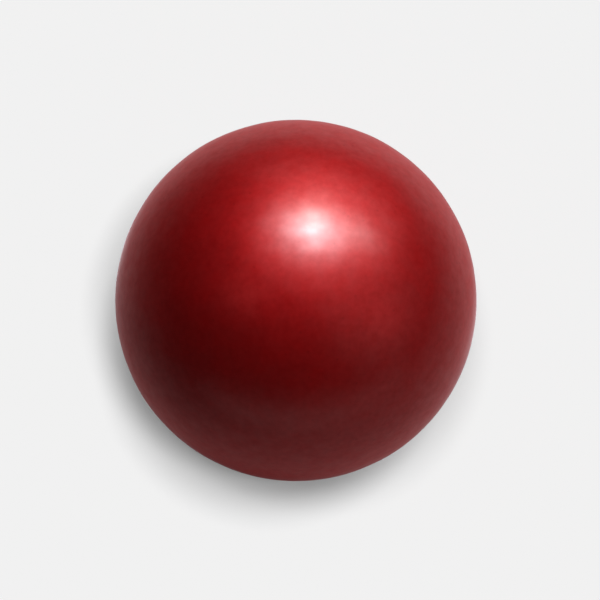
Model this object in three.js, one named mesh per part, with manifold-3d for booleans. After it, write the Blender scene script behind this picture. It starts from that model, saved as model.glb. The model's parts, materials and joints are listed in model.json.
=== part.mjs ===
// A small inflatable ball for floor exercise. A thin soft skin holds the air. A valve insert sits in the
// thickened boss of the skin like a grommet, and a ribbed stopper plug fills the insert's tapered bore.
// Millimetres, +Z up. The origin is the middle of the small flat where the ball's own weight presses it down.
import * as THREE from "three";
import { mergeVertices, toCreasedNormals } from "three/addons/utils/BufferGeometryUtils.js";
import Module from "manifold-3d";

// Ball
const BALL_DIAMETER = 230; // across the equator, inflated
const SKIN_WALL = 0.8; // soft skin away from the valve
const FOOT_RADIUS = 20; // the flat that carries the resting ball
const BALL_SIDES = 60; // facets round the ball
const HALF_RINGS = 15; // facets from the flat to the equator, and from there to the crown

// Valve, looking to the back and a little below the equator
const VALVE_ELEVATION_DEG = -15;
const VALVE_SIDES = 36; // facets round each valve piece
const FIT_GAP = 0.3; // between the faces of two pieces that seat on each other

// Boss of the skin, with a seat for the insert's collar in its outer face
const BOSS_WEB = 2.0; // skin held between the collar and the inner flange
const BOSS_MARGIN = 6; // boss beyond the seat, all round
const BOSS_FLARE = 3; // slope from the boss out to the thin skin

// Insert: collar outside, neck through the boss, flange inside, then a tapered tube into the ball
const COLLAR_SINK = 0.6; // collar face below the crown of the ball
const COLLAR_THICKNESS = 1.8;
const COLLAR_LIP = 3.0; // collar beyond the neck
const COLLAR_BEVEL = 0.4;
const NECK_WALL = 1.3; // neck beyond the dish that holds the plug's head
const FLANGE_LIP = 2.0; // inner flange beyond the neck
const FLANGE_THICKNESS = 1.4;
const TUBE_LENGTH = 13; // below the flange
const TUBE_WALL = 1.6;
const BORE_MOUTH_RADIUS = 3.8;
const BORE_END_RADIUS = 3.1;

// Plug: round head in the collar's dish, tapered ribbed stem, cored from its inner end
const HEAD_LIP = 1.6; // head beyond the bore's mouth
const HEAD_THICKNESS = 1.6;
const HEAD_PROUD = 0.3; // head above the collar's face
const HEAD_ROUNDING = 0.5;
const HEAD_ROUNDING_STEPS = 3;
const TIP_SETBACK = 1.3; // plug's tip short of the tube's end
const TIP_TAPER_LENGTH = 2.2;
const TIP_TAPER = 0.6; // radius lost along the tip
const RIB_COUNT = 3;
const RIB_HEIGHT = 0.35;
const RIB_LENGTH = 1.6;
const CORE_WALL = 0.8; // round the open end of the core
const CORE_ROOF = 4.5; // solid stem between the head and the core

// Scoop in the dish's rim, where a fingernail lifts the plug's head
const NOTCH_SIDES = 16;
const NOTCH_RINGS = 10;

const ballRadius = BALL_DIAMETER / 2;
const centreHeight = Math.sqrt(ballRadius ** 2 - FOOT_RADIUS ** 2);

// Radii of the valve, from the bore outwards
const headRadius = BORE_MOUTH_RADIUS + HEAD_LIP;
const dishRadius = headRadius + FIT_GAP;
const neckRadius = dishRadius + NECK_WALL;
const flangeRadius = neckRadius + FLANGE_LIP;
const collarRadius = neckRadius + COLLAR_LIP;
const holeRadius = neckRadius + FIT_GAP;
const seatRadius = collarRadius + FIT_GAP;
const bossRadius = seatRadius + BOSS_MARGIN;

// Levels of the valve, as distances from the middle of the ball along the valve's axis
const collarFace = ballRadius - COLLAR_SINK;
const collarUnderside = collarFace - COLLAR_THICKNESS;
const bossSeat = collarUnderside - FIT_GAP;
const bossInside = bossSeat - BOSS_WEB;
const flangeTop = bossInside - FIT_GAP;
const flangeUnderside = flangeTop - FLANGE_THICKNESS;
const tubeEnd = flangeUnderside - TUBE_LENGTH;
const headTop = collarFace + HEAD_PROUD;
const headUnderside = headTop - HEAD_THICKNESS;
const dishFloor = headUnderside - FIT_GAP;
const stemTip = tubeEnd + TIP_SETBACK;
const tipShoulder = stemTip + TIP_TAPER_LENGTH;

const wasm = await Module();
wasm.setup();

// A closed geometry as a solid that can be cut and joined
function solidOf(geometry) {
  const bare = geometry.clone();
  bare.deleteAttribute("normal");
  bare.deleteAttribute("uv");
  const merged = mergeVertices(bare);
  const mesh = new wasm.Mesh({
    numProp: 3,
    vertProperties: merged.attributes.position.array,
    triVerts: new Uint32Array(merged.index.array),
  });
  return new wasm.Manifold(mesh);
}

// A solid as a geometry, shaded smooth except across sharp edges
function geometryOf(solid) {
  const mesh = solid.getMesh();
  const geometry = new THREE.BufferGeometry()
    .setAttribute("position", new THREE.BufferAttribute(mesh.vertProperties, 3))
    .setIndex(new THREE.BufferAttribute(mesh.triVerts, 1));
  return toCreasedNormals(geometry);
}

// A profile of [radius, level] pairs turned about the Z axis, with the solid on the left along the profile
function turned(profile, sides) {
  const points = profile.map(([radius, level]) => new THREE.Vector2(radius, level));
  return new THREE.LatheGeometry(points, sides).rotateX(Math.PI / 2);
}

// A ball pressed flat at the floor level, with one ring of corners on the equator
function pressedBall(radius, floor) {
  const footAngle = Math.acos((centreHeight - floor) / radius);
  const quarter = Math.PI / 2;
  const profile = [[0, floor]];
  for (let ring = 0; ring < 2 * HALF_RINGS; ring++) {
    const share = ring / HALF_RINGS;
    const angle = share < 1 ? footAngle + (quarter - footAngle) * share : quarter * share;
    profile.push([radius * Math.sin(angle), centreHeight - radius * Math.cos(angle)]);
  }
  profile.push([0, centreHeight + radius]);
  return turned(profile, BALL_SIDES);
}

// The bore narrows evenly from the dish to the tube's end
function boreRadius(level) {
  const share = (dishFloor - level) / (dishFloor - tubeEnd);
  return BORE_MOUTH_RADIUS + (BORE_END_RADIUS - BORE_MOUTH_RADIUS) * share;
}

// The ribs' crests keep the fit gap to the bore, and the stem lies lower by the ribs' height
function crestRadius(level) {
  return boreRadius(level) - FIT_GAP;
}

function stemRadius(level) {
  return crestRadius(level) - RIB_HEIGHT;
}

// The valve's own frame: +Z runs out of the ball through the middle of the valve
const valve = new THREE.Group();
valve.position.z = centreHeight;
valve.rotation.x = THREE.MathUtils.degToRad(VALVE_ELEVATION_DEG) - Math.PI / 2;
valve.updateMatrix();

function ballSkin() {
  const outside = solidOf(pressedBall(ballRadius, 0));
  const inside = solidOf(pressedBall(ballRadius - SKIN_WALL, SKIN_WALL));
  const boss = turned(
    [
      [0, bossInside],
      [bossRadius, bossInside],
      [bossRadius + BOSS_FLARE, ballRadius],
      [0, ballRadius],
    ],
    VALVE_SIDES,
  );
  const seat = turned(
    [
      [0, flangeTop],
      [holeRadius, flangeTop],
      [holeRadius, bossSeat],
      [seatRadius, bossSeat],
      [seatRadius, ballRadius],
      [0, ballRadius],
    ],
    VALVE_SIDES,
  );
  const air = inside.subtract(solidOf(boss.applyMatrix4(valve.matrix)));
  return geometryOf(outside.subtract(air).subtract(solidOf(seat.applyMatrix4(valve.matrix))));
}

function valveInsert() {
  const body = turned(
    [
      [BORE_END_RADIUS, tubeEnd],
      [BORE_END_RADIUS + TUBE_WALL, tubeEnd],
      [boreRadius(flangeUnderside) + TUBE_WALL, flangeUnderside],
      [flangeRadius, flangeUnderside],
      [flangeRadius, flangeTop],
      [neckRadius, flangeTop],
      [neckRadius, collarUnderside],
      [collarRadius, collarUnderside],
      [collarRadius, collarFace - COLLAR_BEVEL],
      [collarRadius - COLLAR_BEVEL, collarFace],
      [dishRadius, collarFace],
      [dishRadius, dishFloor],
      [BORE_MOUTH_RADIUS, dishFloor],
      [BORE_END_RADIUS, tubeEnd],
    ],
    VALVE_SIDES,
  );
  const scoop = new THREE.SphereGeometry(headTop - dishFloor, NOTCH_SIDES, NOTCH_RINGS);
  scoop.translate(0, -dishRadius, headTop);
  return geometryOf(solidOf(body).subtract(solidOf(scoop)));
}

function valvePlug() {
  const tipRadius = stemRadius(stemTip) - TIP_TAPER;
  const coreRadius = tipRadius - CORE_WALL;
  const profile = [
    [0, headUnderside - CORE_ROOF],
    [coreRadius, headUnderside - CORE_ROOF],
    [coreRadius, stemTip],
    [tipRadius, stemTip],
    [stemRadius(tipShoulder), tipShoulder],
  ];
  const ribPitch = (headUnderside - tipShoulder) / RIB_COUNT;
  for (let rib = 0; rib < RIB_COUNT; rib++) {
    const middle = tipShoulder + (rib + 0.5) * ribPitch;
    const below = middle - RIB_LENGTH / 2;
    const above = middle + RIB_LENGTH / 2;
    profile.push([stemRadius(below), below], [crestRadius(middle), middle], [stemRadius(above), above]);
  }
  profile.push([stemRadius(headUnderside), headUnderside], [headRadius, headUnderside]);
  for (let step = 0; step <= HEAD_ROUNDING_STEPS; step++) {
    const turn = ((Math.PI / 2) * step) / HEAD_ROUNDING_STEPS;
    const inwards = HEAD_ROUNDING * (1 - Math.cos(turn));
    const down = HEAD_ROUNDING * (1 - Math.sin(turn));
    profile.push([headRadius - inwards, headTop - down]);
  }
  profile.push([0, headTop]);
  return geometryOf(solidOf(turned(profile, VALVE_SIDES)));
}

const pearlRed = new THREE.MeshStandardMaterial({ color: 0xa81a20, roughness: 0.4, metalness: 0.35 });
const plainRed = new THREE.MeshStandardMaterial({ color: 0x8c1a1c, roughness: 0.5, metalness: 0 });
const naturalWhite = new THREE.MeshStandardMaterial({ color: 0xe6e2d8, roughness: 0.45, metalness: 0 });

function piece(name, geometry, material) {
  const mesh = new THREE.Mesh(geometry, material);
  mesh.name = name;
  return mesh;
}

valve.add(
  piece("valve_insert", valveInsert(), plainRed),
  piece("valve_plug", valvePlug(), naturalWhite),
);

const ball = new THREE.Group();
ball.add(piece("ball_skin", ballSkin(), pearlRed), valve);

export default ball;
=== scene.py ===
"""A small inflatable exercise ball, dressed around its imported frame.

The skin is one closed shell, turned about the valve's axis and pressed flat where the ball rests. The
valve's insert and its stopper plug are turned about the same axis. Lengths are metres, in the frame's own
axes.
"""

import json
import math

import bpy
import numpy as np
from bpy.props import FloatProperty, FloatVectorProperty, IntProperty, PointerProperty
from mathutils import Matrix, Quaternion, Vector


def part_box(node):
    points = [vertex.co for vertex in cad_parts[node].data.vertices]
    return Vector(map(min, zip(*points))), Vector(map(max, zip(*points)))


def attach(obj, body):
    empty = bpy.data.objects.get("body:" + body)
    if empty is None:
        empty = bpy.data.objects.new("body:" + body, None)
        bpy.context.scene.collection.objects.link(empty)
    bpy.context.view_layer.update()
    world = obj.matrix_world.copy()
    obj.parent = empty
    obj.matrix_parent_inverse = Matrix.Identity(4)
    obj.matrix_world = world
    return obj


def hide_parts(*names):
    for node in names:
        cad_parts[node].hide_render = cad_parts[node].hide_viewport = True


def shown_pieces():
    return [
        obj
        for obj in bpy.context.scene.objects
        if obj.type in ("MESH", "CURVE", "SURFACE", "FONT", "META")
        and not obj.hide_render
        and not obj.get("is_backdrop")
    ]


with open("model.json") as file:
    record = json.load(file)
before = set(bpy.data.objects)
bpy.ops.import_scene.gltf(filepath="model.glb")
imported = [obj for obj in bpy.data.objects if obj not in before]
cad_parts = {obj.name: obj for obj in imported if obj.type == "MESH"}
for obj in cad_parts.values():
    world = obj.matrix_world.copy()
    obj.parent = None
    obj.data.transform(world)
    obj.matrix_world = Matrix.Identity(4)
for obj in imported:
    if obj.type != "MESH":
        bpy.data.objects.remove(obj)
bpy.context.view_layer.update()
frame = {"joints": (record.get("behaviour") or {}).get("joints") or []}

bl_info = {
    "name": "Pilates Ball",
    "version": (1, 0, 0),
    "blender": (4, 5, 0),
    "location": "View3D > Sidebar > Pilates Ball",
    "description": "Makes a soft inflatable exercise ball with its valve, on a plain studio floor",
    "category": "Add Mesh",
}

MM = 0.001
LAMP_DISTANCE = 1.5
FLOOR_DROP = 0.05 * MM
BLACK = (0.0, 0.0, 0.0)
ROOM_GREY = (0.01, 0.01, 0.01)
BACKDROP_GREY = (0.88, 0.88, 0.88)

# The ball's place and the valve's direction, from the frame
SKIN_LOW, SKIN_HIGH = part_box("ball_skin")
INSERT_LOW, INSERT_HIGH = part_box("valve_insert")
PLUG_LOW, PLUG_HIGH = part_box("valve_plug")
BALL_RADIUS = (SKIN_HIGH.x - SKIN_LOW.x) / 2
CENTRE = Vector((0, 0, SKIN_HIGH.z - BALL_RADIUS))
VALVE_AXIS = Vector(frame["joints"][0]["axis"]).normalized()

# The ball in the picture, in pixels from the top left corner
PICTURE_SIDE = 600
BALL_MIDDLE_PX = (296.0, 300.45)
BALL_RADIUS_PX = 180.7

# Middles of the two faint paler patches, a painted reflection, in the same pixels
REFLECTION_PATCH_LEFT_PX = (246.0, 298.0)
REFLECTION_PATCH_RIGHT_PX = (379.0, 319.0)

# Tints of the studio's lamps
WARM_WHITE = (1.0, 0.95, 0.45)
PLAIN_WHITE = (1.0, 1.0, 1.0)
COOL_WHITE = (0.92, 1.0, 1.06)
WARM_FILL = (1.0, 0.76, 0.75)


def length(name, default_mm, description):
    """A size property with its default in millimetres."""
    return FloatProperty(
        name=name, description=description, default=default_mm * MM, unit="LENGTH", precision=5
    )


def colour(name, default, description):
    """A linear colour property."""
    return FloatVectorProperty(
        name=name, description=description, default=default, subtype="COLOR", size=3, min=0, max=1
    )


def amount(name, default, description):
    """A plain number."""
    return FloatProperty(name=name, description=description, default=default, precision=4)


class SkinSizes(bpy.types.PropertyGroup):
    """Sizes of the ball's skin"""

    wall: length("Wall", 0.8, "Thickness of the soft skin away from the valve")
    foot_blend: length("Foot blend", 0.4, "Height over which the pressed flat runs out into the round")
    boss_web: length("Boss web", 2.0, "Skin held between the insert's collar and its inner flange")
    boss_margin: length("Boss margin", 6.0, "Boss beyond the collar's seat, all round")
    boss_flare: length("Boss flare", 3.0, "Slope from the boss out to the thin skin")
    lip_rounding: length("Lip rounding", 0.6, "Rounding of the seat's outer lip")
    ripple_height: length("Ripple height", 0.06, "Soft unevenness of the inflated skin")
    ripple_length: length("Ripple length", 36.0, "Distance from one soft crest to the next")
    dimple_height: length("Dimple height", 0.02, "Finer unevenness on top of the ripples")
    dimple_length: length("Dimple length", 12.0, "Distance from one fine crest to the next")


class ValveSizes(bpy.types.PropertyGroup):
    """Sizes of the valve's insert and plug"""

    fit_gap: length("Fit gap", 0.3, "Gap between two pieces that seat on each other")
    collar_sink: length("Collar sink", 0.6, "Collar face below the crown of the ball")
    collar_thickness: length("Collar thickness", 1.8, "Thickness of the collar")
    collar_lip: length("Collar lip", 3.0, "Collar beyond the neck")
    flange_lip: length("Flange lip", 2.0, "Inner flange beyond the neck")
    flange_thickness: length("Flange thickness", 1.4, "Thickness of the inner flange")
    tube_length: length("Tube length", 13.0, "Tube below the flange")
    tube_wall: length("Tube wall", 1.6, "Wall of the tube")
    bore_mouth_radius: length("Bore mouth radius", 3.8, "Radius of the bore below the plug's head")
    bore_end_radius: length("Bore end radius", 3.1, "Radius of the bore at the tube's end")
    head_thickness: length("Head thickness", 1.6, "Thickness of the plug's head")
    head_proud: length("Head proud", 0.3, "Plug's head above the collar's face")
    head_dish: length("Head dish", 0.25, "Hollow in the top of the plug's head")
    head_rim: length("Head rim", 0.9, "Width of the raised rim round the head's hollow")
    gate_radius: length("Gate radius", 0.6, "Moulding mark in the middle of the plug's head")
    tip_setback: length("Tip setback", 1.3, "Plug's tip short of the tube's end")
    tip_taper_length: length("Tip taper length", 2.2, "Length of the plug's pointed end")
    tip_taper: length("Tip taper", 0.6, "Radius lost along the plug's pointed end")
    rib_count: IntProperty(name="Ribs", description="Sealing ribs on the plug's stem", default=3, min=1)
    rib_height: length("Rib height", 0.35, "Rib above the stem")
    rib_length: length("Rib length", 1.6, "Length of a rib along the stem")
    core_wall: length("Core wall", 0.8, "Wall round the open end of the plug's core")
    core_roof: length("Core roof", 4.5, "Solid stem between the plug's head and its core")
    notch_radius: length("Notch radius", 1.55, "Scoop in the dish's rim, for a fingernail")
    edge_rounding: length("Edge rounding", 0.25, "Rounding of the moulded edges")


class Finish(bpy.types.PropertyGroup):
    """Colours and gloss of the pieces"""

    pearl: colour("Pearl red", (0.79, 0.0012, 0.0036), "Skin where its pearl pigment is fullest")
    pearl_deep: colour("Deep red", (0.61, 0.0008, 0.0028), "Skin where its pearl pigment is thinner")
    pearl_share: amount("Pearl share", 1.0, "How far the pearl flakes cover the red under them")
    pearl_roughness: amount("Pearl roughness", 0.65, "Spread of the pearl's own glow")
    pearl_edge: colour("Pearl edge", (1.0, 0.437, 0.437), "Tint of the pearl at a flat angle")
    bloom: amount("Bloom", 1.0, "Strength of the soft plastic's powdery bloom")
    bloom_roughness: amount("Bloom roughness", 0.2, "How far the bloom reaches in from the outline")
    bloom_grey: colour("Bloom grey", (0.42, 0.42, 0.44), "Tint of the bloom")
    gloss: amount("Gloss", 0.259, "Strength of the clear surface's highlight")
    gloss_roughness: amount("Gloss roughness", 0.33, "Spread of the clear surface's highlight")
    gloss_index: amount("Gloss index", 3.975, "Refractive index of the clear surface")
    smudge_depth: amount("Smudge depth", 0.7, "How far the gloss varies from place to place")
    speck_depth: amount("Speck depth", 0.12, "How dark the few specks of dust are")
    # Painted reflection: the paler red of two patches that stand in for reflected light
    reflection_patch_red: colour("Rubbed red", (1.0, 0.032, 0.034), "Paler red of skin that was rubbed")
    reflection_patch_share: amount("Rub share", 0.6, "How pale a rubbed patch is in its middle")
    insert_red: colour("Insert red", (0.26, 0.014, 0.015), "Plain soft plastic of the insert")
    plug_white: colour("Plug white", (0.78, 0.75, 0.68), "Natural plastic of the plug")


class Studio(bpy.types.PropertyGroup):
    """Camera, floor and light"""

    lens_mm: amount("Lens", 100.0, "Focal length in millimetres")
    sensor_mm: amount("Sensor", 36.0, "Width of the camera's sensor in millimetres")
    floor_colour: colour("Floor", (0.9, 0.9, 0.9), "Plain pale floor")
    # Painted light: shares of pale paint in pools round the ball, which only reflections and bounces see in
    # the floor's colour
    painted_pool_close: amount("Mirrored close", 0.6, "Share of the pale floor that the rim mirrors")
    painted_pool_near: amount("Mirrored near", 0.903, "Share of the pale floor that is mirrored close by")
    painted_pool_wide: amount("Mirrored wide", 0.2, "Share of the pale floor that is mirrored further out")
    painted_reflection_far: amount("Mirrored far", 0.027, "Share of the pale floor that is mirrored anywhere")
    # Painted shadow: how dark the ball's own shadow is painted into the floor that the ball mirrors
    painted_shadow_depth: amount("Mirrored shade", 1.0, "How dark the ball's own mirrored shadow is")
    floor_half: length("Floor reach", 12000.0, "Half the floor's side")


class PilatesBall(bpy.types.PropertyGroup):
    """Everything that a user may change"""

    skin: PointerProperty(type=SkinSizes)
    valve: PointerProperty(type=ValveSizes)
    finish: PointerProperty(type=Finish)
    studio: PointerProperty(type=Studio)


class ValveLayout:
    """Radii from the valve's axis, and levels along it from the ball's middle, that several pieces share."""

    def __init__(self, settings):
        v = settings.valve
        self.head = (PLUG_HIGH.x - PLUG_LOW.x) / 2
        self.dish = self.head + v.fit_gap
        self.collar = (INSERT_HIGH.x - INSERT_LOW.x) / 2
        self.neck = self.collar - v.collar_lip
        self.flange = self.neck + v.flange_lip
        self.hole = self.neck + v.fit_gap
        self.seat = self.collar + v.fit_gap
        self.boss = self.seat + settings.skin.boss_margin
        self.collar_face = BALL_RADIUS - v.collar_sink
        self.collar_underside = self.collar_face - v.collar_thickness
        self.boss_seat = self.collar_underside - v.fit_gap
        self.boss_inside = self.boss_seat - settings.skin.boss_web
        self.flange_top = self.boss_inside - v.fit_gap
        self.flange_underside = self.flange_top - v.flange_thickness
        self.tube_end = self.flange_underside - v.tube_length
        self.head_top = self.collar_face + v.head_proud
        self.head_underside = self.head_top - v.head_thickness
        self.dish_floor = self.head_underside - v.fit_gap
        self.stem_tip = self.tube_end + v.tip_setback
        self.tip_shoulder = self.stem_tip + v.tip_taper_length
        self.bore_mouth = v.bore_mouth_radius
        self.bore_end = v.bore_end_radius

    def bore(self, level):
        """Radius of the bore, which narrows evenly from the dish's floor to the tube's end."""
        share = (self.dish_floor - level) / (self.dish_floor - self.tube_end)
        return self.bore_mouth + (self.bore_end - self.bore_mouth) * share


def rounded(corners, closed=False, steps=5):
    """A run of straight lines whose corners are rounded.

    A corner is (radius, level, rounding). An arc of that rounding touches both of its lines. A corner without
    rounding is kept, and so are the ends of an open run. The result is an array of (radius, level).
    """
    points = np.array([corner[:2] for corner in corners], float)
    run = []
    for index, corner in enumerate(corners):
        here = points[index]
        at_end = not closed and index in (0, len(corners) - 1)
        if at_end or corner[2] == 0:
            run.append(here[None])
            continue
        back = points[index - 1] - here
        ahead = points[(index + 1) % len(points)] - here
        back /= np.linalg.norm(back)
        ahead /= np.linalg.norm(ahead)
        half = math.acos(np.clip(back @ ahead, -1, 1)) / 2
        bisector = (back + ahead) / np.linalg.norm(back + ahead)
        middle = here + bisector * corner[2] / math.sin(half)
        reach = corner[2] / math.tan(half)
        spoke_in = here + back * reach - middle
        spoke_out = here + ahead * reach - middle
        sweep = math.pi - 2 * half
        share = np.linspace(0, 1, steps + 1)[:, None]
        spoke = np.sin((1 - share) * sweep) * spoke_in + np.sin(share * sweep) * spoke_out
        run.append(middle + spoke / math.sin(sweep))
    return np.concatenate(run)


def sphere_run(radius, start, end, count):
    """Corners without rounding along a half circle, by their angle from the valve's axis."""
    angle = np.linspace(start, end, count)
    return np.stack([radius * np.sin(angle), radius * np.cos(angle), np.zeros(count)], axis=1)


def turned(profile, columns):
    """Rings of points: each (radius, level) of the profile is carried once round the valve's axis."""
    axis = np.array(VALVE_AXIS)
    side = np.array((1.0, 0.0, 0.0))
    up = np.cross(axis, side)
    angle = np.linspace(0, 2 * math.pi, columns, endpoint=False)
    around = np.cos(angle)[:, None] * side + np.sin(angle)[:, None] * up
    return np.array(CENTRE) + profile[:, None, 1:2] * axis + profile[:, None, 0:1] * around


def closed_surface(name, rings, ring_loop):
    """A mesh object over rings of points.

    Neighbouring rings are joined by quads. With ring_loop the last ring is joined to the first. Otherwise the
    first and the last ring have shrunk to one point each, and fans of triangles close the surface there.
    """
    rows, columns = rings.shape[:2]
    column = np.arange(columns)
    beside = (column + 1) % columns
    fans = []
    if ring_loop:
        points = rings.reshape(-1, 3)
        row = np.arange(rows)[:, None] * columns
        ahead = (np.arange(rows)[:, None] + 1) % rows * columns
    else:
        points = np.concatenate([rings[0, :1], rings[1:-1].reshape(-1, 3), rings[-1, :1]])
        row = 1 + np.arange(rows - 3)[:, None] * columns
        ahead = row + columns
        last = np.full_like(column, len(points) - 1)
        end_ring = last - columns
        start_fan = np.stack([np.zeros_like(column), 1 + beside, 1 + column], axis=-1)
        end_fan = np.stack([end_ring + column, end_ring + beside, last], axis=-1)
        fans = start_fan.tolist() + end_fan.tolist()
    quads = np.stack([row + column, row + beside, ahead + beside, ahead + column], axis=-1)
    faces = quads.reshape(-1, 4).tolist() + fans
    mesh = bpy.data.meshes.new(name)
    mesh.from_pydata(points.tolist(), [], faces)
    mesh.validate()
    mesh.shade_smooth()
    piece = bpy.data.objects.new(name, mesh)
    bpy.context.scene.collection.objects.link(piece)
    return piece


def finished(piece, node, body, material):
    """Dresses a new piece, puts it in place of its CAD node and lets it ride on the node's body."""
    piece.data.materials.append(material)
    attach(piece, body)
    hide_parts(node)


class Term:
    """A socket that can stand in arithmetic. Every operator adds one Math node to the socket's tree."""

    def __init__(self, tree, socket):
        self.tree = tree
        self.socket = socket

    def math(self, operation, first, second):
        return self.tree.node("ShaderNodeMath", {"operation": operation}, {0: first, 1: second})

    def __add__(self, other):
        return self.math("ADD", self, other)

    def __radd__(self, other):
        return self.math("ADD", other, self)

    def __sub__(self, other):
        return self.math("SUBTRACT", self, other)

    def __rsub__(self, other):
        return self.math("SUBTRACT", other, self)

    def __mul__(self, other):
        return self.math("MULTIPLY", self, other)

    def __rmul__(self, other):
        return self.math("MULTIPLY", other, self)

    def __pow__(self, other):
        return self.math("POWER", self, other)

    def __rpow__(self, other):
        return self.math("POWER", other, self)

    def above(self, limit):
        """This value, but never less than the limit."""
        return self.math("MAXIMUM", self, limit)


class Tree:
    """A node tree that is filled from empty."""

    # Numbers of a Mix node's colour sockets
    MIX_FIRST = 6
    MIX_SECOND = 7
    MIX_RESULT = 2

    def __init__(self, owner):
        owner.use_nodes = True
        self.tree = owner.node_tree
        self.tree.nodes.clear()

    def node(self, kind, settings=None, sockets=None, out=0):
        """Adds a node of that type. Its settings come first, then its sockets, by name or number."""
        node = self.tree.nodes.new(kind)
        for name, value in (settings or {}).items():
            setattr(node, name, value)
        for key, value in (sockets or {}).items():
            if isinstance(value, Term):
                self.tree.links.new(value.socket, node.inputs[key])
            else:
                node.inputs[key].default_value = value
        return Term(self, node.outputs[out] if node.outputs else None)

    def place(self):
        """Object coordinates, in metres."""
        return self.node("ShaderNodeTexCoord", out="Object")

    def noise(self, place, size, detail=2.0):
        """Smooth noise from 0 to 1 whose grains are about that size."""
        return self.node("ShaderNodeTexNoise", {}, {"Vector": place, "Scale": 1 / size, "Detail": detail})

    def bell(self, place, middle, spread):
        """A bell curve of the distance from a point, 1 at the point itself."""
        ends = {0: place, 1: middle}
        distance = self.node("ShaderNodeVectorMath", {"operation": "DISTANCE"}, ends, out="Value")
        reach = distance * (1 / spread)
        return math.exp(-0.5) ** (reach * reach)

    def specks(self, place, spacing, radius):
        """Small balls round scattered points, 1 in their middle and 0 past their radius."""
        distance = self.node("ShaderNodeTexVoronoi", {}, {"Vector": place, "Scale": 1 / spacing})
        sockets = {
            "Value": distance,
            "From Min": 0.0,
            "From Max": radius / spacing,
            "To Min": 1.0,
            "To Max": 0.0,
        }
        return self.node("ShaderNodeMapRange", {"interpolation_type": "SMOOTHSTEP"}, sockets)

    def bumps(self, height, strength, depth):
        """A surface normal that follows a height from 0 to 1 over that depth."""
        return self.node("ShaderNodeBump", {}, {"Strength": strength, "Distance": depth, "Height": height})

    def mixed(self, share, first, second):
        """A colour between the first, at share 0, and the second, at share 1."""
        sockets = {0: share}
        for key, value in ((self.MIX_FIRST, first), (self.MIX_SECOND, second)):
            sockets[key] = value if isinstance(value, Term) else (*value, 1.0)
        return self.node("ShaderNodeMix", {"data_type": "RGBA"}, sockets, out=self.MIX_RESULT)

    def surface(self, shader):
        """Makes the shader the material's surface."""
        self.node("ShaderNodeOutputMaterial", {}, {"Surface": shader})


def on_ball(pixel):
    """The point of the ball that the picture shows at a pixel, taken as seen from very far away."""
    x = (pixel[0] - BALL_MIDDLE_PX[0]) / BALL_RADIUS_PX
    y = (BALL_MIDDLE_PX[1] - pixel[1]) / BALL_RADIUS_PX
    return CENTRE + BALL_RADIUS * Vector((x, y, math.sqrt(1 - x * x - y * y)))


def varied(depth, noise):
    """A factor about 1 that follows a noise from 0 to 1 and changes by the depth from end to end."""
    return 1 + depth * (noise - 0.5)


def skin_material(finish):
    """Pearl pigment under a clear satin surface.

    The pigment is mottled, the gloss is smudged, two patches are painted paler as a painted reflection, and
    there are a few specks and a little orange peel.
    """
    cloud_share = 0.5
    reflection_patch_unevenness = 1.2
    roughness_swing = 0.04
    material = bpy.data.materials.new("pearl_skin")
    tree = Tree(material)
    place = tree.place()
    clouds = tree.noise(place, size=22 * MM)
    mottle = tree.noise(place, size=3.5 * MM, detail=3.0)
    smudges = tree.noise(place, size=7 * MM, detail=3.0)
    peel = tree.noise(place, size=1.6 * MM)
    specks = tree.specks(place, spacing=9 * MM, radius=1.3 * MM)
    # Painted reflection: two patches where the red is painted paler
    reflection_patch_left = tree.bell(place, on_ball(REFLECTION_PATCH_LEFT_PX), spread=9 * MM)
    reflection_patch_right = tree.bell(place, on_ball(REFLECTION_PATCH_RIGHT_PX), spread=10 * MM)
    fullness = mottle + cloud_share * (clouds - 0.5)
    reflection_patches = finish.reflection_patch_share * (reflection_patch_left + reflection_patch_right) * varied(reflection_patch_unevenness, smudges)
    pigment = tree.mixed(fullness, tuple(finish.pearl_deep), tuple(finish.pearl))
    red_with_reflection_patches = tree.mixed(reflection_patches, pigment, tuple(finish.reflection_patch_red))
    red = tree.mixed(finish.speck_depth * specks, red_with_reflection_patches, BLACK)
    gloss = finish.gloss * varied(finish.smudge_depth, smudges)
    normal = tree.bumps(peel, strength=0.04, depth=0.2 * MM)
    shader = tree.node(
        "ShaderNodeBsdfPrincipled",
        {},
        {
            "Base Color": red,
            "Metallic": finish.pearl_share,
            "Roughness": finish.pearl_roughness + roughness_swing * (clouds - 0.5),
            "Normal": normal,
            "Specular Tint": (*finish.pearl_edge, 1.0),
            "Sheen Weight": finish.bloom,
            "Sheen Roughness": finish.bloom_roughness,
            "Sheen Tint": (*finish.bloom_grey, 1.0),
            "Coat Weight": gloss * (1 - finish.speck_depth * specks),
            "Coat Roughness": finish.gloss_roughness,
            "Coat IOR": finish.gloss_index,
        },
    )
    tree.surface(shader)
    return material


def insert_material(finish):
    """Plain soft plastic with a fine moulded grain."""
    deep_share = 0.85
    low_roughness = 0.42
    grain_roughness = 0.16
    material = bpy.data.materials.new("insert_plastic")
    tree = Tree(material)
    place = tree.place()
    grain = tree.noise(place, size=0.35 * MM)
    clouds = tree.noise(place, size=5 * MM)
    deep_red = tuple(deep_share * part for part in finish.insert_red)
    red = tree.mixed(clouds, deep_red, tuple(finish.insert_red))
    roughness = low_roughness + grain_roughness * grain
    normal = tree.bumps(grain, strength=0.15, depth=0.05 * MM)
    sockets = {"Base Color": red, "Roughness": roughness, "Normal": normal}
    tree.surface(tree.node("ShaderNodeBsdfPrincipled", {}, sockets))
    return material


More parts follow.
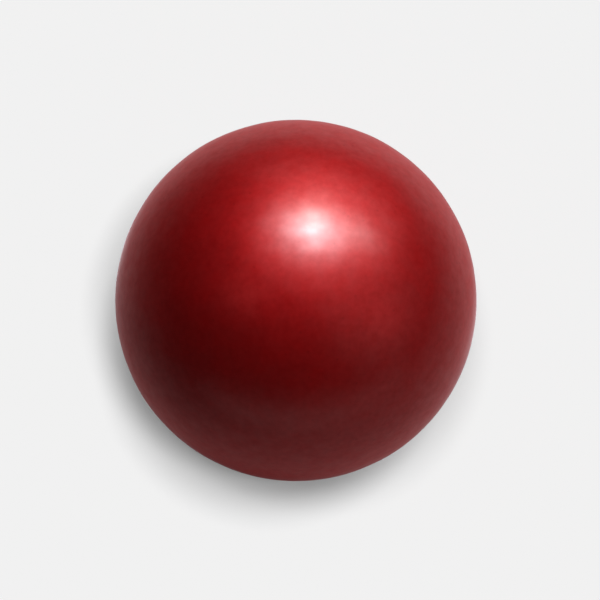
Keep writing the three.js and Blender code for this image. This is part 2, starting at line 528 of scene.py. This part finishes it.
def plug_material(finish):
    """Natural white plastic, slightly waxy, with faint flow marks."""
    deep_share = 0.9
    low_roughness = 0.36
    flow_roughness = 0.14
    material = bpy.data.materials.new("plug_plastic")
    tree = Tree(material)
    place = tree.place()
    flow = tree.noise(place, size=3 * MM, detail=3.0)
    grain = tree.noise(place, size=0.25 * MM)
    deep_white = tuple(deep_share * part for part in finish.plug_white)
    white = tree.mixed(flow, deep_white, tuple(finish.plug_white))
    roughness = low_roughness + flow_roughness * flow
    normal = tree.bumps(grain, strength=0.12, depth=0.04 * MM)
    sockets = {"Base Color": white, "Roughness": roughness, "Normal": normal}
    tree.surface(tree.node("ShaderNodeBsdfPrincipled", {}, sockets))
    return material


def pressed(height, blend):
    """Height after pressing: zero below the floor, unchanged above it, and a parabola that joins the two."""
    return np.where(height > blend, height, np.maximum(height + blend, 0) ** 2 / (4 * blend))


def uneven(rings, height, wavelength):
    """The rings with a soft unevenness: a sum of plane waves whose directions follow a golden spiral.

    The swing is along the line from the ball's middle. It is full away from the valve's axis, and fades out
    from twice the calm share of the ball's radius to once that share.
    """
    waves = 7
    calm = 0.2
    index = np.arange(waves)
    golden = math.pi * (3 - math.sqrt(5))
    rise = 1 - 2 * (index + 0.5) / waves
    ground = np.sqrt(1 - rise**2)
    direction = np.stack([ground * np.cos(golden * index), ground * np.sin(golden * index), rise])
    from_middle = rings - np.array(CENTRE)
    phase = from_middle @ direction * (2 * math.pi / wavelength) + golden * index
    swing = np.sin(phase).sum(axis=-1) * math.sqrt(2 / waves)
    distance = np.linalg.norm(from_middle, axis=-1, keepdims=True)
    off_axis = np.linalg.norm(np.cross(from_middle, np.array(VALVE_AXIS)), axis=-1, keepdims=True)
    away_from_valve = np.clip(off_axis / BALL_RADIUS - calm, 0, calm) / calm
    return rings + from_middle / distance * swing[..., None] * height * away_from_valve


class PILATES_BALL_OT_skin(bpy.types.Operator):
    """Make the ball's skin: an outer and an inner sphere, joined through the valve's seat and boss"""

    bl_idname = "pilates_ball.skin"
    bl_label = "Skin"

    COLUMNS = 288
    OUTSIDE_ROWS = 180
    INSIDE_ROWS = 60

    def execute(self, context):
        settings = context.scene.pilates_ball
        sizes = settings.skin
        edge = settings.valve.edge_rounding
        valve = ValveLayout(settings)
        inner = BALL_RADIUS - sizes.wall
        lip = math.asin(valve.seat / BALL_RADIUS)
        flare_end = valve.boss + sizes.boss_flare
        outside = sphere_run(BALL_RADIUS, math.pi, lip, self.OUTSIDE_ROWS)
        inside = sphere_run(inner, math.asin(flare_end / inner), math.pi, self.INSIDE_ROWS)
        outside[0, 0] = inside[-1, 0] = 0
        outside[-1, 2] = sizes.lip_rounding
        inside[0, 2] = sizes.boss_flare
        seat = [
            (valve.seat, valve.boss_seat, edge),
            (valve.hole, valve.boss_seat, edge),
            (valve.hole, valve.boss_inside, edge),
            (valve.boss, valve.boss_inside, sizes.boss_web / 2),
        ]
        profile = rounded([*map(tuple, outside), *seat, *map(tuple, inside)])
        rings = turned(profile, self.COLUMNS)
        rings = uneven(rings, sizes.ripple_height, sizes.ripple_length)
        rings = uneven(rings, sizes.dimple_height, sizes.dimple_length)
        on_outside = np.hypot(profile[:, 0], profile[:, 1]) > BALL_RADIUS - sizes.wall / 2
        lowest = np.where(on_outside, 0, sizes.wall)[:, None]
        rings[..., 2] = lowest + pressed(rings[..., 2] - lowest, sizes.foot_blend)
        piece = closed_surface("skin", rings, ring_loop=False)
        finished(piece, "ball_skin", "ball", skin_material(settings.finish))
        return {"FINISHED"}


def scooped(rings, valve, radius, bottom):
    """The rings with a fingernail scoop in the upper side of the dish's rim.

    The scoop is a ball round a point of the rim, level with the top of the plug's head. A point that stands
    above the bottom level, and higher than that ball's underside, is lowered onto it along the valve's axis.
    """
    axis = np.array(VALVE_AXIS)
    upward = np.cross((1.0, 0.0, 0.0), axis)
    middle = np.array(CENTRE) + valve.dish * upward + valve.head_top * axis
    level = (rings - np.array(CENTRE)) @ axis
    aside = rings - middle
    aside -= (aside @ axis)[..., None] * axis
    depth = np.sqrt(np.maximum(radius**2 - (aside**2).sum(axis=-1), 0))
    underside = np.where(depth > 0, valve.head_top - depth, np.inf)
    drop = np.where(level > bottom, np.maximum(level - underside, 0), 0)
    return rings - drop[..., None] * axis


class PILATES_BALL_OT_insert(bpy.types.Operator):
    """Make the valve's insert: a turned grommet with a tapered bore and a fingernail scoop in its dish"""

    bl_idname = "pilates_ball.insert"
    bl_label = "Valve insert"

    COLUMNS = 240
    FACE_ROWS = 16

    def execute(self, context):
        settings = context.scene.pilates_ball
        sizes = settings.valve
        edge = sizes.edge_rounding
        valve = ValveLayout(settings)
        collar_edge = 1.6 * edge
        face = np.linspace(valve.collar - 2 * edge, valve.dish + 2 * edge, self.FACE_ROWS)
        corners = [
            (valve.bore_end, valve.tube_end, edge),
            (valve.bore_end + sizes.tube_wall, valve.tube_end, edge),
            (valve.bore(valve.flange_underside) + sizes.tube_wall, valve.flange_underside, edge),
            (valve.flange, valve.flange_underside, edge),
            (valve.flange, valve.flange_top, edge),
            (valve.neck, valve.flange_top, edge),
            (valve.neck, valve.collar_underside, edge),
            (valve.collar, valve.collar_underside, edge),
            (valve.collar, valve.collar_face, collar_edge),
            *((radius, valve.collar_face, 0) for radius in face),
            (valve.dish, valve.collar_face, edge),
            (valve.dish, valve.dish_floor, edge / 2),
            (valve.bore_mouth, valve.dish_floor, edge),
        ]
        rings = turned(rounded(corners, closed=True), self.COLUMNS)
        rings = scooped(rings, valve, sizes.notch_radius, bottom=valve.dish_floor + edge / 2)
        piece = closed_surface("insert", rings, ring_loop=True)
        finished(piece, "valve_insert", "ball", insert_material(settings.finish))
        return {"FINISHED"}


class PILATES_BALL_OT_plug(bpy.types.Operator):
    """Make the stopper plug: a turned head with a hollow top, and a ribbed stem cored from its tip"""

    bl_idname = "pilates_ball.plug"
    bl_label = "Valve plug"

    COLUMNS = 192

    def execute(self, context):
        settings = context.scene.pilates_ball
        sizes = settings.valve
        edge = sizes.edge_rounding
        valve = ValveLayout(settings)

        def crest(level):
            return valve.bore(level) - sizes.fit_gap

        def stem(level):
            return crest(level) - sizes.rib_height

        tip = stem(valve.stem_tip) - sizes.tip_taper
        core = tip - sizes.core_wall
        core_top = valve.head_underside - sizes.core_roof
        pitch = (valve.head_underside - valve.tip_shoulder) / sizes.rib_count
        ribs = []
        for rib in range(sizes.rib_count):
            middle = valve.tip_shoulder + (rib + 0.5) * pitch
            below = middle - sizes.rib_length / 2
            above = middle + sizes.rib_length / 2
            ribs.append((stem(below), below, edge))
            ribs.append((crest(middle), middle, edge))
            ribs.append((stem(above), above, edge))
        hollow = valve.head - sizes.head_rim
        hollow_floor = valve.head_top - sizes.head_dish
        gate_top = hollow_floor + sizes.head_dish / 2
        corners = [
            (0, core_top, 0),
            (core, core_top, edge),
            (core, valve.stem_tip, edge / 2),
            (tip, valve.stem_tip, edge),
            (stem(valve.tip_shoulder), valve.tip_shoulder, edge),
            *ribs,
            (stem(valve.head_underside), valve.head_underside, edge),
            (valve.head, valve.head_underside, edge),
            (valve.head, valve.head_top, 2 * edge),
            (hollow, valve.head_top, edge / 2),
            (hollow - sizes.head_dish, hollow_floor, edge),
            (sizes.gate_radius + edge, hollow_floor, edge),
            (sizes.gate_radius, gate_top, edge / 3),
            (0, gate_top, 0),
        ]
        piece = closed_surface("plug", turned(rounded(corners), self.COLUMNS), ring_loop=False)
        finished(piece, "valve_plug", "plug", plug_material(settings.finish))
        return {"FINISHED"}


def group_of(name, objects):
    """A collection outside the scene, which tells a lamp what it lights."""
    collection = bpy.data.collections.new(name)
    for member in objects:
        collection.objects.link(member)
    return collection


def towards(azimuth, elevation):
    """Unit vector to a lamp, by degrees from +X round to +Y and degrees above the floor."""
    a = math.radians(azimuth)
    e = math.radians(elevation)
    return Vector((math.cos(a) * math.cos(e), math.sin(a) * math.cos(e), math.sin(e)))


def add_lamp(name, data, direction, roll, receivers):
    """Puts a lamp in the scene, looking along its direction at the middle of the ball."""
    lamp = bpy.data.objects.new(name, data)
    turn = direction.to_track_quat("Z", "Y") @ Quaternion((0, 0, 1), math.radians(roll))
    lamp.rotation_euler = turn.to_euler()
    lamp.location = CENTRE + direction * LAMP_DISTANCE
    lamp.visible_camera = False
    lamp.light_linking.receiver_collection = receivers
    bpy.context.scene.collection.objects.link(lamp)


def panel_lamp(
    name, receivers, azimuth, elevation, width, height, radiance, roll=0.0, tint=PLAIN_WHITE
):
    """An oval lamp for the ball. Its width and height are degrees seen from there. Radiance 1 looks white."""
    data = bpy.data.lights.new(name, "AREA")
    data.shape = "ELLIPSE"
    data.color = tint
    data.size = 2 * LAMP_DISTANCE * math.tan(math.radians(width / 2))
    data.size_y = 2 * LAMP_DISTANCE * math.tan(math.radians(height / 2))
    data.energy = radiance * math.pi * (math.pi / 4 * data.size * data.size_y)
    data.cycles.max_bounces = 0
    add_lamp(name, data, towards(azimuth, elevation), roll, receivers)


def floor_lamp(name, receivers, azimuth, elevation, spread, radiance, shadow=True):
    """A far round lamp for the floor alone. Its radiance is what it adds to a white floor."""
    data = bpy.data.lights.new(name, "SUN")
    data.use_shadow = shadow
    data.angle = math.radians(spread)
    data.energy = radiance * math.pi / math.sin(math.radians(elevation))
    data.cycles.max_bounces = 1
    add_lamp(name, data, towards(azimuth, elevation), 0.0, receivers)


def floor_material(studio):
    """Plain matt paint, evenly pale to the camera. Other rays see painted light in its colour: three soft
    pools of the paint that the ball mirrors, less a painted shadow of the ball.
    """
    material = bpy.data.materials.new("floor_paint")
    tree = Tree(material)
    place = tree.place()

    def pool(azimuth, offset, spread):
        return tree.bell(place, towards(azimuth, 0) * offset, spread)

    # Painted light: pools of pale paint that stand in for the lit floor round the ball in reflections
    close = pool(azimuth=100, offset=0.05, spread=0.12)
    near = pool(azimuth=58, offset=0.131, spread=0.209)
    wide = pool(azimuth=-57.2, offset=0.684, spread=0.732)
    # Painted shadow: a dark spot in the floor's colour where the ball's own shadow is mirrored
    painted_shadow = pool(azimuth=257, offset=0.145, spread=0.07)
    painted_reflection = studio.painted_pool_close * close + studio.painted_pool_near * near
    painted_reflection = painted_reflection + studio.painted_pool_wide * wide + studio.painted_reflection_far
    painted_reflection = painted_reflection * (1 - studio.painted_shadow_depth * painted_shadow)
    seen = tree.node("ShaderNodeLightPath", out="Is Camera Ray")
    paint = tree.mixed(painted_reflection.above(seen), BLACK, tuple(studio.floor_colour))
    tree.surface(tree.node("ShaderNodeBsdfDiffuse", {}, {"Color": paint}))
    return material


def dim_room(context):
    """A dark studio round the ball, with a pale backdrop that only the camera sees."""
    world = bpy.data.worlds.new("dim_room")
    context.scene.world = world
    tree = Tree(world)
    seen = tree.node("ShaderNodeLightPath", out="Is Camera Ray")
    grey = tree.mixed(seen, ROOM_GREY, BACKDROP_GREY)
    backdrop = tree.node("ShaderNodeBackground", {}, {"Color": grey})
    tree.node("ShaderNodeOutputWorld", {}, {"Surface": backdrop})


class PILATES_BALL_OT_studio(bpy.types.Operator):
    """Make the floor, the lamps, the dim room and a camera that looks straight down"""

    bl_idname = "pilates_ball.studio"
    bl_label = "Studio"

    def execute(self, context):
        studio = context.scene.pilates_ball.studio
        half = studio.floor_half
        mesh = bpy.data.meshes.new("floor")
        corners = [(-half, -half, 0), (half, -half, 0), (half, half, 0), (-half, half, 0)]
        mesh.from_pydata(corners, [], [(0, 1, 2, 3)])
        floor = bpy.data.objects.new("floor", mesh)
        floor.location.z = -FLOOR_DROP
        mesh.materials.append(floor_material(studio))
        context.scene.collection.objects.link(floor)
        floor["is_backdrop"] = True
        ball_only = group_of("lit_by_the_studio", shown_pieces())
        floor_only = group_of("lit_by_the_floor_lamps", [floor])
        self.ball_lamps(ball_only)
        self.floor_lamps(floor_only)
        dim_room(context)
        self.camera(context, studio)
        context.scene.view_settings.view_transform = "Standard"
        return {"FINISHED"}

    def ball_lamps(self, lit):
        """A bright panel behind the ball, softer ones round it, and weak ones for the sides."""
        panel_lamp(
            "core", lit, azimuth=77.8, elevation=41.5, width=5, height=4, radiance=18.6, tint=WARM_WHITE
        )
        panel_lamp("key", lit, azimuth=77.8, elevation=36.5, width=7, height=6, radiance=26)
        panel_lamp(
            "glow", lit, azimuth=78, elevation=47.4, width=20, height=6, radiance=38.1, roll=10,
            tint=COOL_WHITE,
        )
        panel_lamp(
            "halo", lit, azimuth=66, elevation=46, width=24.5, height=23.4, radiance=3.1, roll=-12.5,
            tint=COOL_WHITE,
        )
        panel_lamp(
            "left_wing", lit, azimuth=97, elevation=42.2, width=16.9, height=6, radiance=3.95, tint=COOL_WHITE
        )
        panel_lamp(
            "right_wing", lit, azimuth=50, elevation=35.2, width=24.5, height=4.1, radiance=9.8, roll=27.5
        )
        panel_lamp(
            "veil", lit, azimuth=68, elevation=39, width=47.3, height=15.1, radiance=0.27, roll=-17.5
        )
        panel_lamp("back", lit, azimuth=69, elevation=9.3, width=83.6, height=18, radiance=0.297, roll=-7.5)
        panel_lamp(
            "front", lit, azimuth=278.2, elevation=12, width=110, height=23.4, radiance=0.208, tint=WARM_FILL
        )
        panel_lamp(
            "side", lit, azimuth=-3, elevation=41.1, width=67.6, height=63.3, radiance=0.118, roll=-7.5,
            tint=WARM_FILL,
        )

    def floor_lamps(self, lit):
        """Three lamps that give the soft shadow, and one without a shadow that keeps it from going black."""
        floor_lamp("floor_right", lit, azimuth=12, elevation=77.4, spread=9.4, radiance=0.2585)
        floor_lamp("floor_middle", lit, azimuth=64, elevation=74, spread=12.3, radiance=0.412)
        floor_lamp("floor_left", lit, azimuth=115, elevation=76.8, spread=11.2, radiance=0.2467)
        floor_lamp("floor_fill", lit, azimuth=0, elevation=90, spread=0, radiance=0.05, shadow=False)

    def camera(self, context, studio):
        """A camera above the ball whose picture has the ball's outline at the given place and size."""
        data = bpy.data.cameras.new("camera")
        data.lens = studio.lens_mm
        data.sensor_width = studio.sensor_mm
        half_picture = studio.sensor_mm / 2 / studio.lens_mm
        per_pixel = half_picture / (PICTURE_SIDE / 2)
        outline_angle = math.atan(BALL_RADIUS_PX * per_pixel)
        distance = BALL_RADIUS / math.sin(outline_angle)
        camera = bpy.data.objects.new("camera", data)
        aside = (PICTURE_SIDE / 2 - BALL_MIDDLE_PX[0]) * per_pixel * distance
        along = (BALL_MIDDLE_PX[1] - PICTURE_SIDE / 2) * per_pixel * distance
        camera.location = CENTRE + Vector((aside, along, distance))
        context.scene.collection.objects.link(camera)
        context.scene.camera = camera


class PILATES_BALL_PT_panel(bpy.types.Panel):
    """The ball's pieces, sizes and colours"""

    bl_idname = "PILATES_BALL_PT_panel"
    bl_label = "Pilates Ball"
    bl_space_type = "VIEW_3D"
    bl_region_type = "UI"
    bl_category = "Pilates Ball"

    def draw(self, context):
        settings = context.scene.pilates_ball
        for operator in (
            PILATES_BALL_OT_skin,
            PILATES_BALL_OT_insert,
            PILATES_BALL_OT_plug,
            PILATES_BALL_OT_studio,
        ):
            self.layout.operator(operator.bl_idname)
        for group in (settings.skin, settings.valve, settings.finish, settings.studio):
            box = self.layout.box()
            for name in type(group).__annotations__:
                box.prop(group, name)


CLASSES = (
    SkinSizes,
    ValveSizes,
    Finish,
    Studio,
    PilatesBall,
    PILATES_BALL_OT_skin,
    PILATES_BALL_OT_insert,
    PILATES_BALL_OT_plug,
    PILATES_BALL_OT_studio,
    PILATES_BALL_PT_panel,
)


def register():
    for cls in CLASSES:
        bpy.utils.register_class(cls)
    bpy.types.Scene.pilates_ball = PointerProperty(type=PilatesBall)


def unregister():
    del bpy.types.Scene.pilates_ball
    for cls in reversed(CLASSES):
        bpy.utils.unregister_class(cls)


def main():
    register()
    bpy.ops.pilates_ball.skin()
    bpy.ops.pilates_ball.insert()
    bpy.ops.pilates_ball.plug()
    bpy.ops.pilates_ball.studio()


if __name__ == "__main__":
    main()
